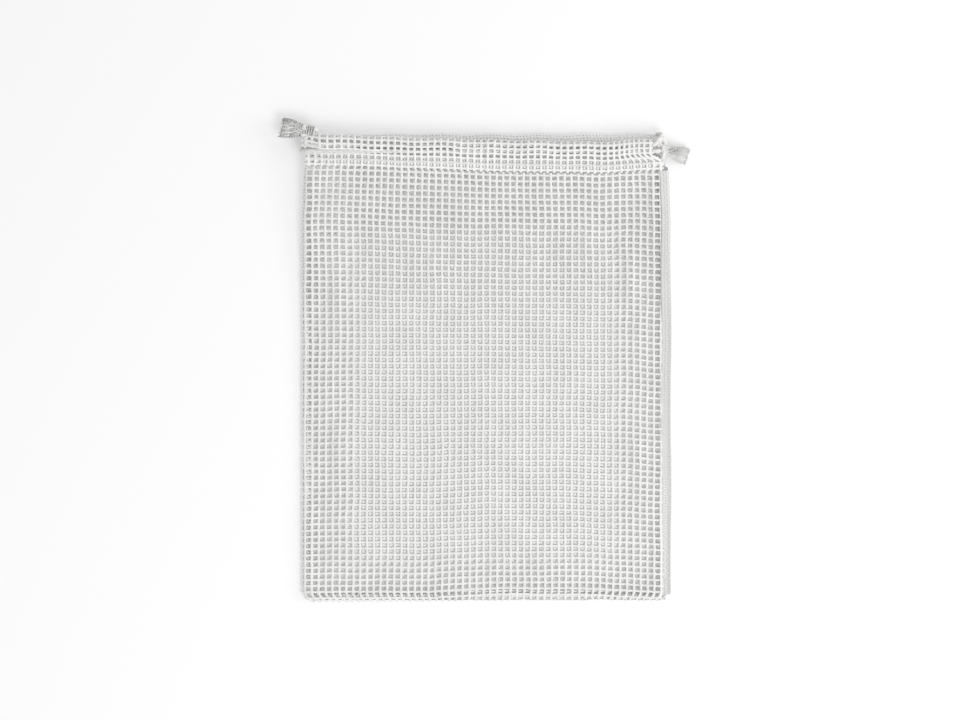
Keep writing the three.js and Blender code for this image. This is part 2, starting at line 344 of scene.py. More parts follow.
def yarns(tree, given, lengthways):
    """All the yarns that run one way, laid on the guide as thin tubes."""
    lines, cells = (given["Columns"], given["Rows"]) if lengthways else (given["Rows"], given["Columns"])
    segments = product(tree, cells, given["Steps"])
    count = maths(tree, "ADD", segments, 1.0)
    step = maths(tree, "DIVIDE", 1.0, segments)
    gap = maths(tree, "DIVIDE", 1.0, lines)
    first = product(tree, gap, 0.5)
    along_axis, across_axis = ("Y", "X") if lengthways else ("X", "Y")
    offset = combined(tree, **{along_axis: step})
    start = combined(tree, **{across_axis: first})
    spacing = combined(tree, **{across_axis: gap})
    one = node_of(tree, "GeometryNodeMeshLine", {"Count": count, "Offset": offset})[0]
    sockets = {"Count": lines, "Start Location": start, "Offset": spacing}
    many = node_of(tree, "GeometryNodeMeshLine", sockets)[0]
    spread = node_of(tree, "GeometryNodeInstanceOnPoints", {"Points": many, "Instance": one})[0]
    flat = node_of(tree, "GeometryNodeRealizeInstances", {0: spread})[0]
    flat = store(tree, flat, "place", node_of(tree, "GeometryNodeInputPosition")[0])

    # each yarn strays a little, by a noise that depends on where it lies on the cloth
    guide = given["Geometry"]
    position = node_of(tree, "GeometryNodeInputPosition")[0]
    place = named(tree, "place")
    straight = on_cloth(tree, guide, position, kept_inside(tree, place))
    strays = None
    for scale, share in ((22.0, 1.0), (150.0, 0.45)):
        sockets = {"Vector": straight, "W": given["Seed"], "Scale": scale, "Detail": 1.0}
        noise = node_of(tree, "ShaderNodeTexNoise", sockets, noise_dimensions="4D")["Color"]
        centred = vector_maths(tree, "SUBTRACT", noise, (0.5, 0.5, 0.5))
        part = vector_maths(tree, "MULTIPLY", centred, (2 * share, 2 * share, 0.0))
        strays = part if strays is None else vector_maths(tree, "ADD", strays, part)
    sized = vector_maths(tree, "MULTIPLY", strays, combined(tree, X=given["Wander"], Y=given["Wander"]))
    shift = vector_maths(tree, "DIVIDE", sized, given["Cloth Size"])
    strayed = kept_inside(tree, vector_maths(tree, "ADD", place, shift))
    ground = on_cloth(tree, guide, position, strayed)
    normal = on_cloth(tree, guide, named(tree, "cloth_normal"), strayed)

    # over and under: the two ways take turns
    parts = node_of(tree, "ShaderNodeSeparateXYZ", {0: place})
    turns = []
    for part, number in ((parts[0], given["Columns"]), (parts[1], given["Rows"])):
        turns.append(maths(tree, "SINE", product(tree, part, number, math.pi)))
    rise = product(tree, *turns, given["Wave"], 1.0 if lengthways else -1.0)
    lift = node_of(tree, "ShaderNodeVectorMath", {0: normal, "Scale": rise}, operation="SCALE")[0]
    # the normal is stored before the points move, because it is looked up by place
    flat = store(tree, flat, "cloth_normal", normal)
    moved = vector_maths(tree, "ADD", ground, lift)
    laid = node_of(tree, "GeometryNodeSetPosition", {"Geometry": flat, "Position": moved})[0]

    curve = node_of(tree, "GeometryNodeMeshToCurve", {0: laid})[0]
    tangent = node_of(tree, "GeometryNodeInputTangent")[0]
    sideways = vector_maths(tree, "CROSS_PRODUCT", named(tree, "cloth_normal"), tangent)
    turned = node_of(tree, "GeometryNodeSetCurveNormal", {"Curve": curve, "Normal": sideways}, mode="FREE")
    spline = node_of(tree, "GeometryNodeSplineParameter")
    curve = store(tree, turned[0], "along", combined(tree, Z=spline["Length"]))

    ring = node_of(tree, "GeometryNodeCurvePrimitiveCircle", {"Resolution": 6, "Radius": 1.0})[0]
    around = product(tree, spline["Factor"], 2 * math.pi)
    turn = combined(tree, X=maths(tree, "COSINE", around), Y=maths(tree, "SINE", around))
    ring = store(tree, ring, "around", turn)
    width = given["Column Width"] if lengthways else given["Row Width"]
    half = combined(tree, X=product(tree, width, 0.5), Y=product(tree, given["Thickness"], 0.5), Z=1.0)
    profile = node_of(tree, "GeometryNodeTransform", {"Geometry": ring, "Scale": half})[0]

    # a yarn is fuller where it crosses another
    here = turns[1] if lengthways else turns[0]
    fullness = product(tree, here, here, given["Bulge"])
    thinnest = maths(tree, "SUBTRACT", 1.0, product(tree, given["Bulge"], 0.5))
    swell = maths(tree, "ADD", fullness, thinnest)
    sockets = {"Curve": curve, "Profile Curve": profile, "Scale": swell, "Fill Caps": True}
    tube = node_of(tree, "GeometryNodeCurveToMesh", sockets)[0]
    return store(tree, tube, "yarn", vector_maths(tree, "ADD", named(tree, "around"), named(tree, "along")))


def net_tree():
    """Grows a net of crossing yarns over a guide mesh."""
    name = "Knitted Net"
    if name in bpy.data.node_groups:
        return bpy.data.node_groups[name]
    tree, given, leave = new_tree(name, NET_INPUTS)
    both = tree.nodes.new("GeometryNodeJoinGeometry")
    for lengthways in (True, False):
        tree.links.new(yarns(tree, given, lengthways), both.inputs[0])
    close_tree(tree, leave, both.outputs[0], given["Material"])
    return tree


# ---- the stitches' tree ----
STITCH_INPUTS = {"Float": ("Length", "Spacing", "Width", "Slant"), "Material": ("Material",)}


def stitch_tree():
    """Lays one short thread after another along a line."""
    name = "Stitch Row"
    if name in bpy.data.node_groups:
        return bpy.data.node_groups[name]
    tree, given, leave = new_tree(name, STITCH_INPUTS)
    line = node_of(tree, "GeometryNodeMeshToCurve", {0: given["Geometry"]})[0]
    sockets = {"Curve": line, "Length": given["Spacing"]}
    points = node_of(tree, "GeometryNodeCurveToPoints", sockets, mode="LENGTH")
    facing = node_of(
        tree, "FunctionNodeAxesToRotation",
        {"Primary Axis": points["Tangent"], "Secondary Axis": (0.0, 0.0, 1.0)},
        primary_axis="X", secondary_axis="Z",
    )[0]
    other = maths(tree, "MODULO", node_of(tree, "GeometryNodeInputIndex")[0], 2.0)
    sign = maths(tree, "SUBTRACT", product(tree, other, 2.0), 1.0)
    slant = combined(tree, Z=product(tree, sign, given["Slant"]))
    sockets = {"Rotation": facing, "Rotate By": slant}
    turned = node_of(tree, "FunctionNodeRotateRotation", sockets, rotation_space="LOCAL")[0]
    bead = node_of(tree, "GeometryNodeMeshUVSphere", {"Segments": 8, "Rings": 5, "Radius": 0.5})[0]
    size = combined(tree, X=given["Length"], Y=given["Width"], Z=given["Width"])
    sockets = {"Points": points["Points"], "Instance": bead, "Rotation": turned, "Scale": size}
    rows = node_of(tree, "GeometryNodeInstanceOnPoints", sockets)[0]
    close_tree(tree, leave, rows, given["Material"])
    return tree


# ---- finishes ----
def cotton(name, colour, bump, roughness=0.95, sheen=0.25, twist=0.0, grain=900.0):
    """A cotton finish: uneven colour, fibres, and the turns of a twisted yarn."""
    if name in bpy.data.materials:
        return bpy.data.materials[name]
    material = bpy.data.materials.new(name)
    material.use_nodes = True
    tree = material.node_tree
    coordinates = node_of(tree, "ShaderNodeTexCoord")["Object"]
    noises = []
    for scale, detail, fineness in ((38.0, 4.0, 0.6), (grain, 3.0, 0.7)):
        sockets = {"Vector": coordinates, "Scale": scale, "Detail": detail, "Roughness": fineness}
        noises.append(node_of(tree, "ShaderNodeTexNoise", sockets)["Fac"])
    patches, fibres = noises
    mixed = maths(tree, "ADD", product(tree, patches, 0.45), product(tree, fibres, 0.55))
    ramp = tree.nodes.new("ShaderNodeValToRGB")
    fill(tree, ramp, {"Fac": mixed})
    low, high = ramp.color_ramp.elements
    low.position, high.position = 0.3, 0.7
    low.color = (*(c * 0.90 for c in colour), 1.0)
    high.color = (*(min(1.0, c * 1.06) for c in colour), 1.0)
    height = fibres
    if twist:
        yarn = node_of(tree, "ShaderNodeAttribute", attribute_name="yarn")["Vector"]
        parts = node_of(tree, "ShaderNodeSeparateXYZ", {0: yarn})
        phase = product(tree, parts[2], 2 * math.pi / twist)
        cosine = product(tree, parts[0], maths(tree, "COSINE", phase))
        sine = product(tree, parts[1], maths(tree, "SINE", phase))
        turn = product(tree, maths(tree, "SUBTRACT", cosine, sine), 0.5)
        height = maths(tree, "ADD", fibres, turn)
    sockets = {"Height": height, "Strength": bump, "Distance": 0.0004}
    fill(tree, tree.nodes["Principled BSDF"], {
        "Base Color": ramp.outputs["Color"], "Roughness": roughness, "Specular IOR Level": 0.15,
        "Sheen Weight": sheen, "Sheen Roughness": 0.6,
        "Normal": node_of(tree, "ShaderNodeBump", sockets)["Normal"],
    })
    return material


def net_cotton(name, shade):
    """The net's cotton, made lighter or darker for a piece by painted light or painted shade."""
    colour = [min(0.95, c * shade) for c in net_settings().colour]
    return cotton(name, colour, twist=TWIST, bump=0.16)


def thread_cotton():
    colour = bpy.context.scene.bag_stitch.colour
    return cotton("sewing_thread", colour, 0.25, roughness=0.8, sheen=0.1, grain=2500.0)


def frayed_cotton(name, shade):
    """The cords' cotton at their frayed ends, lightened by a factor; on the left end this is painted light
    against the shade of its knot and casing.
    """
    colour = [min(0.95, c * shade) for c in cord_settings().colour]
    return cotton(name, colour, grain=1600.0, bump=0.15)


def cord_cotton():
    return cotton("drawcord_cotton", cord_settings().colour, grain=1600.0, bump=0.35, twist=0.0011)


# ---- the cloth's shape ----
def ease(low, high, value):
    """0 below low, 1 above high, and smooth between."""
    share = np.clip((value - low) / (high - low), 0.0, 1.0)
    return share * share * (3 - 2 * share)


def side_edge(y, right):
    """Where a side seam runs at a height y, rounded at the bottom corner."""
    mouth = np.clip((y - TAPER_START) / (TOP - TAPER_START), 0.0, 1.0)
    half = RIGHT_EDGE - (RIGHT_EDGE - MOUTH_HALF) * mouth
    into = np.clip(BOTTOM + CORNER - y, 0.0, CORNER)
    half = half - (CORNER - np.sqrt(CORNER**2 - into**2))
    return half if right else -half


def front_top(x):
    """The front casing's folded edge: it hangs lower than the back one towards the right."""
    across = (-150, -118, -70, 10, 92, 122, 150)
    return np.interp(x, across, (189.0, 188.2, 186.4, 183.9, 182.4, 184.4, 185.2))


def front_start(x):
    """Where the front casing's stitched band begins."""
    return front_top(x) - 25.2


def front_foot(x):
    """The front cloth's bottom edge, which lies back from the bag's own edge in the middle."""
    return np.interp(x, (-150, -45, 0, 70, 105, 150), (-189.6, -189.6, -186.9, -186.7, -188.4, -188.8))


def front_height(y):
    """The front cloth lies near the back one and rises to its casing towards the mouth."""
    return FRONT_LEVEL + 0.004 * (y - BOTTOM) + 7.0 * ease(20.0, 166.0, y)


def seam_height(y):
    return (front_height(y) + BACK_LEVEL) / 2


def ripple(x, y):
    """Shallow folds left in cloth that has lain in a pile."""
    broad = 0.42 * np.sin(0.031 * x + 0.017 * y + 0.6) * np.sin(0.023 * y - 0.012 * x + 1.1)
    fine = 0.22 * np.sin(0.083 * x - 0.041 * y + 2.0) * np.sin(0.067 * y + 0.029 * x)
    return broad + fine


def rolled(height, seam, away, width):
    """The height of cloth that rolls over to a seam at its edge."""
    share = np.clip(away / width, 0.0, 1.0)
    return seam + (height - seam) * np.sqrt(1 - (1 - share) ** 2)


def drawn_in(x, y, right_edge, foot):
    """x brought in between the side seams, and how far the place is from the nearest seam."""
    left, right = side_edge(y, False), side_edge(y, True) - (RIGHT_EDGE - right_edge)
    x = left + (right - left) * (x - LEFT_EDGE) / (right_edge - LEFT_EDGE)
    return x, np.minimum(np.minimum(x - left, right - x), y - foot)


def bellied(up):
    """Full in the middle of the cloth's height and nothing at its ends."""
    return np.sin(math.pi * np.clip(up, 0, 1)) ** 0.5


def front_grid(column, row):
    """Where a column and a row of the front cloth cross, before its edges are shaped."""
    x = LEFT_EDGE + (FRONT_RIGHT_EDGE - LEFT_EDGE) * column / FRONT_COLUMNS
    foot, head = front_foot(x), front_start(x)
    return x, foot + (head - foot) * row / FRONT_ROWS


def front_cloth(across, up):
    """The front cloth, across and up from 0 to 1."""
    x, y = front_grid(across * FRONT_COLUMNS, up * FRONT_ROWS)
    foot = front_foot(x)
    near_knot = np.exp(-np.hypot(x + 150, y - 178) / 26.0)
    y = y + 5.0 * near_knot * ease(0.0, 0.2, 1 - up)
    falling = ease(108.0, 145.0, x) * 3.4 + ease(-118.0, -150.0, x) * 1.5 * (1 - up)
    y = y - falling * bellied(up)
    x, away = drawn_in(x, y, FRONT_RIGHT_EDGE, foot)
    resting = ease(8.0, 45.0, away) * ease(162.0, 40.0, y)
    z = front_height(y) + ripple(x, y) * ease(2.0, 30.0, away) * ease(0.0, 0.12, 1 - up)
    z = z + (FRONT_REST + 0.2 * ripple(x, y) - z) * resting
    width = 5.5 + 5.0 * np.clip((y - BOTTOM) / 360, 0, 1)
    flat = np.stack((x, y, rolled(z, seam_height(y), away, width)), axis=-1)
    return flat + settled(across, up)


def back_cloth(across, up):
    """The back cloth, flat on the floor, half a cell out of step with the front in the middle."""
    x = LEFT_EDGE + (RIGHT_EDGE - LEFT_EDGE) * across
    y = BOTTOM + (BACK_HEAD - BOTTOM) * up
    over_x, over_y = front_grid(across * BACK_COLUMNS, up * BACK_ROWS)
    middle = ease(-132.0, -98.0, x) * ease(-176.0, -150.0, y) * (1 - ease(92.0, 118.0, x))
    in_step = ease(-188.0, -172.0, y)
    falling = ease(108.0, 145.0, x) * 3.4 * bellied(up)
    y = y + (over_y + 2.5 * middle - y) * in_step - falling
    x = x + (over_x + 2.79 * middle - x) * ease(148.0, 136.0, x)
    x, away = drawn_in(x, y, RIGHT_EDGE, BOTTOM)
    width = 4.5 + 4.0 * np.clip((y - BOTTOM) / 360, 0, 1)
    height = np.full_like(x, BACK_LEVEL)
    return np.stack((x, y, rolled(height, seam_height(y), away, width)), axis=-1)


# The casings' sections: distance from the folded edge and height. The front one starts as the
# front cloth, passes over the cords, folds and comes back under itself; the back one mirrors it.
FRONT_SECTION = (
    (-25.4, 13.4), (-21.5, 14.4), (-16.5, 14.7), (-12.8, 16.6), (-9.5, 18.8), (-6.5, 19.0), (-3.4, 18.7),
    (-0.9, 17.5), (0.0, 15.9), (-1.0, 13.9), (-4.0, 13.3), (-14.0, 13.3), (-22.0, 13.2), (-24.2, 12.9),
    (-22.0, 13.6), (-17.0, 13.7),
)
BACK_SECTION = (
    (-25.0, 1.0), (-15.0, 0.8), (-4.0, 0.8), (-1.0, 1.4), (0.0, 3.4), (-0.9, 5.2), (-3.6, 6.1),
    (-6.5, 6.3), (-9.5, 6.1), (-13.0, 4.6), (-16.5, 2.9), (-23.0, 2.7), (-24.6, 2.2), (-23.0, 1.8),
    (-17.0, 1.8),
)


def along_section(section, share):
    """A place along a casing's section, by its share of the section's length."""
    points = np.array(section)
    at = distances(points)
    return [np.interp(share, at / at[-1], values) for values in points.T]


def casing_cloth(section, folded_edge, band, reach, slip):
    """The cloth of one casing. The ends of its channel are drawn in, or reach out over the cords."""

    def place(across, up):
        back, z = along_section(section, up)
        opened = ease(-18.0, -11.5, back)
        x = -MOUTH_HALF + (2 * MOUTH_HALF - band) * across
        inside = ease(-147.0, -128.0, x) * ease(144.0, 126.0, x)
        x = x + slip * ease(0.45, 0.58, up) * inside
        left_end = ease(-118.0, -MOUTH_HALF, x)
        right_end = ease(96.0, MOUTH_HALF - band, x)
        x = x + (reach[0] + MOUTH_HALF) * opened * left_end
        x = x + (reach[1] - MOUTH_HALF + band) * opened * right_end
        y = folded_edge(x) + back
        y = y + (0.35 * np.sin(0.16 * x + 1.0) + reach[2] * left_end**2) * opened
        lift = (0.25 * np.sin(0.19 * x + 0.4) + 0.2 * np.sin(0.41 * x)) * (z > 14)
        fall = 2.6 * left_end**3 * (z > 14)
        return np.stack((x, y, z + (lift - fall) * opened), axis=-1)

    return place


def half_of(place, right, share=0.5):
    """The left or the right part of a cloth, as a cloth of its own."""
    start, span = (share, 1 - share) if right else (0.0, share)
    return lambda across, up: place(start + across * span, up)


HALVES = (("left", False), ("right", True))


def side_allowance(right):
    """The two layers turned in along a side: from the raw edge out to the seam and back."""

    def place(across, up):
        y = BOTTOM + 12 + (348 - 12) * up
        depth = np.interp(across, (0, 0.46, 0.5, 0.54, 1), (10.0, 1.4, 0.8, 1.4, 10.0))
        level = np.interp(across, (0, 0.5, 1), (1.95, 2.5, 3.05))
        rise = (seam_height(y) - 3.0) * (1 - ease(0.8, 6.5, depth))
        edge = side_edge(y, right)
        x = edge - depth if right else edge + depth
        if not right:
            across = 1 - across
        return np.stack((x, y, level + rise + 0.12 * np.sin(0.21 * y)), axis=-1)

    return place


def bottom_allowance(across, up):
    """The two layers turned in along the bottom."""
    x = -139.5 + 279.0 * across
    depth = np.interp(up, (0, 0.46, 0.5, 0.54, 1), (10.0, 1.6, 1.0, 1.6, 10.0))
    level = np.interp(up, (0, 0.5, 1), (1.95, 2.5, 3.05))
    return np.stack((x, BOTTOM + depth, level + 0.12 * np.sin(0.19 * x)), axis=-1)


def right_roll(across, up):
    """The strip of back cloth that rolls up over the right seam."""
    y = BOTTOM + 6.0 + (350.0 - 6.0) * up
    edge = side_edge(y, True)
    depth = np.interp(across, (0, 0.3, 0.5, 0.7, 1), (4.2, 0.9, 0.0, 1.0, 7.5))
    low, high = BACK_LEVEL + 0.9, front_height(y) - 1.3
    level = np.interp(across, (0, 0.3, 0.5, 0.7, 1), (0.0, 0.15, 0.5, 0.85, 1.0))
    return np.stack((edge - depth + 0.3 * np.sin(0.05 * y), y, low + (high - low) * level), axis=-1)


def settle_front():
    """Lets the front cloth sag under its own weight and keeps how far each place on it moved."""
    columns, rows = 42, 56
    up, across = np.meshgrid(np.linspace(0, 1, rows + 1), np.linspace(0, 1, columns + 1), indexing="ij")
    points = front_cloth(across, up)
    faces, index = grid_faces(*up.shape)
    cloth = link_object("settling", mesh_of("settling", points.reshape(-1, 3), faces=faces.tolist()))
    held = cloth.vertex_groups.new(name="held")
    edge = (across < 0.02) | (across > 0.98) | (up < 0.015) | (up > 0.985)
    held.add(index[edge].tolist(), 1.0, "REPLACE")
    corners = [(-200, -250, 1.3), (200, -250, 1.3), (200, 250, 1.3), (-200, 250, 1.3)]
    ground = link_object("settling_ground", mesh_of("settling_ground", corners, faces=[(0, 1, 2, 3)]))
    ground.modifiers.new("Ground", "COLLISION")
    ground.collision.thickness_outer = 0.001
    modifier = cloth.modifiers.new("Settle", "CLOTH")
    weave = modifier.settings
    weave.quality = 6
    weave.mass = 0.03
    weave.tension_stiffness = weave.compression_stiffness = 8.0
    weave.shear_stiffness = 2.0
    weave.bending_stiffness = 0.05
    weave.air_damping = 2.0
    weave.shrink_min = -0.004
    weave.vertex_group_mass = "held"
    modifier.collision_settings.distance_min = 0.001
    scene = bpy.context.scene
    for step in range(1, 26):
        scene.frame_set(step)
    result = cloth.evaluated_get(bpy.context.evaluated_depsgraph_get()).to_mesh()
    moved = np.empty(len(result.vertices) * 3, np.float32)
    result.vertices.foreach_get("co", moved)
    moved = moved.reshape(*up.shape, 3) / MM - points
    for piece in (cloth, ground):
        piece.modifiers.clear()
        bpy.data.objects.remove(piece)
    scene.frame_set(1)
    lowest = np.minimum(LOWEST_SETTLED - points[..., 2], 0.0)
    moved[..., 2] = np.maximum(moved[..., 2], lowest)
    SETTLED["front"] = np.clip(moved, (-0.6, -0.6, -3.4), (0.6, 0.6, 0.4))


def settled(across, up):
    """How far the front cloth moved at a place on it, in millimetres."""
    grid = SETTLED.get("front")
    if grid is None:
        return np.zeros((*across.shape, 3))
    rows, columns = grid.shape[0] - 1, grid.shape[1] - 1
    u, v = np.clip(across, 0, 1) * columns, np.clip(up, 0, 1) * rows
    i, j = np.minimum(u.astype(int), columns - 1), np.minimum(v.astype(int), rows - 1)
    fu, fv = (u - i)[..., None], (v - j)[..., None]
    low = grid[j, i] * (1 - fu) + grid[j, i + 1] * fu
    high = grid[j + 1, i] * (1 - fu) + grid[j + 1, i + 1] * fu
    return low * (1 - fv) + high * fv


def guide_mesh(place, columns, rows, per_hole):
    """A grid over a piece of cloth, with its UV map and its normals."""
    wide, tall = columns * per_hole + 1, rows * per_hole + 1
    up, across = np.meshgrid(np.linspace(0, 1, tall), np.linspace(0, 1, wide), indexing="ij")
    points = place(across, up) * MM
    if points.shape != (tall, wide, 3) or not np.isfinite(points).all():
        raise RuntimeError("a guide's points are wrong")
    to_right = np.gradient(points, axis=1)
    upwards = np.gradient(points, axis=0)
    normals = np.cross(to_right, upwards)
    normals /= np.maximum(np.linalg.norm(normals, axis=-1, keepdims=True), 1e-12)
    faces, _ = grid_faces(tall, wide)
    mesh = bpy.data.meshes.new("guide")
    mesh.from_pydata(points.reshape(-1, 3).tolist(), [], faces.tolist())
    layer = mesh.uv_layers.new(name="UVMap")
    uv = np.stack((across, up), axis=-1).reshape(-1, 2)[faces.reshape(-1)]
    layer.data.foreach_set("uv", uv.reshape(-1).astype(np.float32))
    add_vectors(mesh, "cloth_normal", normals)
    size = (
        float(np.linalg.norm(to_right, axis=-1).mean() * (wide - 1)),
        float(np.linalg.norm(upwards, axis=-1).mean() * (tall - 1)),
    )
    return mesh, size


def net_piece(
    name, place, columns, rows, steps=4, per_hole=2, bulge=0.22, wander=1.0, width=1.0,
    finish=PLAIN_FINISH,
):
    """One piece of net, knitted over its guide."""
    settings = net_settings()
    guide, size = guide_mesh(place, columns, rows, per_hole)
    values = {
        "Columns": columns, "Rows": rows, "Steps": steps,
        "Column Width": settings.column_width * width, "Row Width": settings.row_width * width,
        "Thickness": settings.thickness, "Wave": settings.wave, "Bulge": bulge,
        "Wander": settings.wander * wander, "Cloth Size": (*size, 1.0), "Seed": float(settings.seed),
        "Material": net_cotton(*finish),
    }
    return grown(name, guide, net_tree(), values), size


def follows_cord(piece):
    """Bakes a piece's transform into its mesh."""
    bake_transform(piece)


def stitch_piece(name, points, slant=0.0, spacing=1.0):
    settings = bpy.context.scene.bag_stitch
    values = {
        "Length": settings.length, "Spacing": settings.spacing * spacing,
        "Width": settings.width, "Slant": slant, "Material": thread_cotton(),
    }
    line = mesh_of("line", points, edges=[(i, i + 1) for i in range(len(points) - 1)])
    piece = grown(name, line, stitch_tree(), values)
    return piece


# ---- tubes and cords ----
def smooth_line(points, steps):
    """A centripetal Catmull-Rom line through the points."""
    points = [np.array(p, float) for p in points]
    points = [2 * points[0] - points[1], *points, 2 * points[-1] - points[-2]]
    line = []
    for a, b, c, d in zip(points, points[1:], points[2:], points[3:]):
        times = [0.0]
        for p, q in ((a, b), (b, c), (c, d)):
            times.append(times[-1] + max(np.linalg.norm(q - p), 1e-6) ** 0.5)
        t0, t1, t2, t3 = times
        for k in range(steps):
            t = t1 + (t2 - t1) * k / steps
            mixed = lambda p, q, at_p, at_q: (at_q - t) / (at_q - at_p) * p + (t - at_p) / (at_q - at_p) * q
            ab, bc, cd = mixed(a, b, t0, t1), mixed(b, c, t1, t2), mixed(c, d, t2, t3)
            line.append(mixed(mixed(ab, bc, t0, t2), mixed(bc, cd, t1, t3), t1, t2))
    line.append(points[-2])
    return np.array(line)


def even_line(line, step):
    """The line again, with its points the same distance apart."""
    at = distances(line)
    want = np.linspace(0.0, at[-1], max(2, round(at[-1] / step) + 1))
    return np.stack([np.interp(want, at, line[:, k]) for k in range(3)], axis=1)


def place_beyond(side, lane, spot, level):
    """A place near a casing's end, given in cord diameters out and up and as a share to the middle."""
    out, up, towards_middle = spot
    x = (CASING_LEFT if side < 0 else CASING_RIGHT) + side * out * CORD
    height, set_back = (FRONT_HEIGHT, FRONT_SET_BACK) if level == "front" else (BACK_HEIGHT, 0.0)
    set_back += (MIDDLE_SET_BACK - set_back) * towards_middle
    return np.array((x, lane - set_back + up * CORD, height + (MIDDLE_HEIGHT - height) * towards_middle))


def cord_route(way):
    """A cord's line: from its knot through the front casing, round the far corner and back."""
    side, lane = way["side"], way["lane"]
    levels = []
    for level in ("front", "back"):
        out = [place_beyond(side, lane, spot, level) for spot in way["from_knot"]]
        far = [place_beyond(-side, lane, spot, level) for spot in way["far_turn"]]
        inside = [out[-1] + (far[0] - out[-1]) * share for share in (0.25, 0.5, 0.75)]
        levels.append([*out, *inside, *far])
    return smooth_line([*levels[0], *levels[1][:-1][::-1]], 12)


def ring_frames(line, closed=False):
    """Two directions across the line at each of its points, which don't spin along it."""
    if closed:
        tangents = np.roll(line, -1, axis=0) - np.roll(line, 1, axis=0)
    else:
        tangents = np.gradient(line, axis=0)
    tangents /= np.linalg.norm(tangents, axis=1, keepdims=True)
    first = np.cross(tangents[0], (0.0, 0.0, 1.0))
    if np.linalg.norm(first) < 0.1:
        first = np.cross(tangents[0], (0.0, 1.0, 0.0))
    across = [first / np.linalg.norm(first)]
    for tangent in tangents[1:]:
        side = across[-1] - tangent * across[-1].dot(tangent)
        across.append(side / np.linalg.norm(side))
    across = np.array(across)
    return across, np.cross(tangents, across)


def rope_tube(line, radius, lay, strands=3, sides=18, groove=0.24, closed=False):
    """A laid rope: a tube whose section has a lobe for each strand and turns along its length."""
    across, upward = ring_frames(line, closed)
    along = distances(line)
    turns = along / lay * 2 * math.pi
    if closed:
        whole = along[-1] + np.linalg.norm(line[0] - line[-1])
        drift = math.atan2(across[0].dot(upward[-1]), across[0].dot(across[-1]))
        number = strands * round(whole / lay)
        turns = along / whole * (2 * math.pi * number / strands + drift)
    angle = full_circle(sides)
    lobes = 1 - groove * (1 - np.abs(np.cos(angle * strands / 2)) ** 0.8)
    spun = angle[None, :] + turns[:, None]
    reach = (lobes * np.broadcast_to(radius, len(line))[:, None])[..., None]
    rings = line[:, None, :] + reach * (
        np.cos(spun)[..., None] * across[:, None, :] + np.sin(spun)[..., None] * upward[:, None, :]
    )
    yarn = np.broadcast_arrays(np.cos(2 * angle), np.sin(2 * angle), along[:, None] * MM)
    return rings, np.stack(yarn, axis=-1)


def tube_faces(count, sides, first, closed):
    """The faces between a tube's rings, with a cap at either end of an open one."""
    index = first + np.arange(count * sides).reshape(count, sides)
    here = index if closed else index[:-1]
    after = np.roll(index, -1, axis=0)[:len(here)]
    faces = np.stack((here, np.roll(here, -1, 1), np.roll(after, -1, 1), after), axis=-1)
    caps = [] if closed else [index[0, ::-1].tolist(), index[-1].tolist()]
    return faces.reshape(-1, 4).tolist() + caps


def tubes_piece(name, tubes, material, closed=False):
    """One mesh object from one or more swept tubes, each given as its rings and its yarn places."""
    points, yarn, faces = [], [], []
    for rings, places in tubes:
        count, sides = rings.shape[:2]
        faces += tube_faces(count, sides, len(points), closed)
        points += (rings.reshape(-1, 3) * MM).tolist()
        yarn += places.reshape(-1).tolist()
    mesh = bpy.data.meshes.new(name)
    mesh.from_pydata(points, [], faces)
    add_vectors(mesh, "yarn", yarn)
    mesh.materials.append(material)
    mesh.shade_smooth()
    mesh.update()
    piece = link_object(name, mesh)
    return piece


def knot_line(centre, size, turn):
    """A tight overhand knot about a centre, closed on itself inside."""
    t = full_circle(96)
    x = np.sin(t) + 2 * np.sin(2 * t)
    y = np.cos(t) - 2 * np.cos(2 * t)
    z = -np.sin(3 * t)
    x, y = x * math.cos(turn) - y * math.sin(turn), x * math.sin(turn) + y * math.cos(turn)
    return np.stack((x * size[0], y * size[1], z * size[2]), axis=1) + centre


def frayed_tail(centre, tip, width, strands, seed, curl):
    """A cut end whose yarns leave the knot twisted together and part towards the tip."""
    rng = np.random.default_rng(seed)
    axis = tip - centre
    length = np.linalg.norm(axis)
    axis /= length
    side = np.cross((0.0, 0.0, 1.0), axis)
    side /= np.linalg.norm(side)
    over = np.cross(axis, side)
    steps = np.linspace(0.0, 0.96, 15)[:, None]
    around = full_circle(20)[None, :]
    flare = 0.52 + 0.48 * ease(0.2, 0.95, steps)
    sideways = np.cos(around) * flare * width[0] * 0.93 + curl * steps**2
    upwards = np.sin(around) * flare * width[1] * 0.93
    heart = centre + axis * steps[..., None] * length + side * sideways[..., None] + over * upwards[..., None]
    heart[..., 2] = np.maximum(heart[..., 2], 0.6)
    tubes = [(heart, np.zeros_like(heart))]
    for i in range(strands):
        radius = 0.9 + rng.uniform(-0.06, 0.06)
        angle = 2 * math.pi * (i + rng.uniform(-0.25, 0.25)) / strands
        reach = 1 + rng.uniform(-0.05, 0.05)
        steps = np.linspace(0.0, reach, 15)
        flare = 0.52 + 0.48 * ease(0.2, 0.95, steps)
        spin = angle + 2.4 * (1 - ease(0.0, 0.7, steps))
        wave = 0.35 * np.sin(steps * rng.uniform(4, 9) + rng.uniform(0, 6)) * steps
        sideways = radius * np.cos(spin) * flare * width[0] + wave + curl * steps**2
        upwards = radius * np.sin(spin) * flare * width[1]
        line = centre + axis * (steps * length)[:, None]
        line = line + side * sideways[:, None] + over * upwards[:, None]
        line[:, 2] = np.maximum(line[:, 2], 0.75)
        thick = np.interp(steps / reach, (0, 0.9, 1), (0.7, 0.68, 0.45)) * rng.uniform(0.85, 1.15)
        tubes.append(rope_tube(line, thick, 4.0, strands=2, sides=6, groove=0.1))
    return tubes


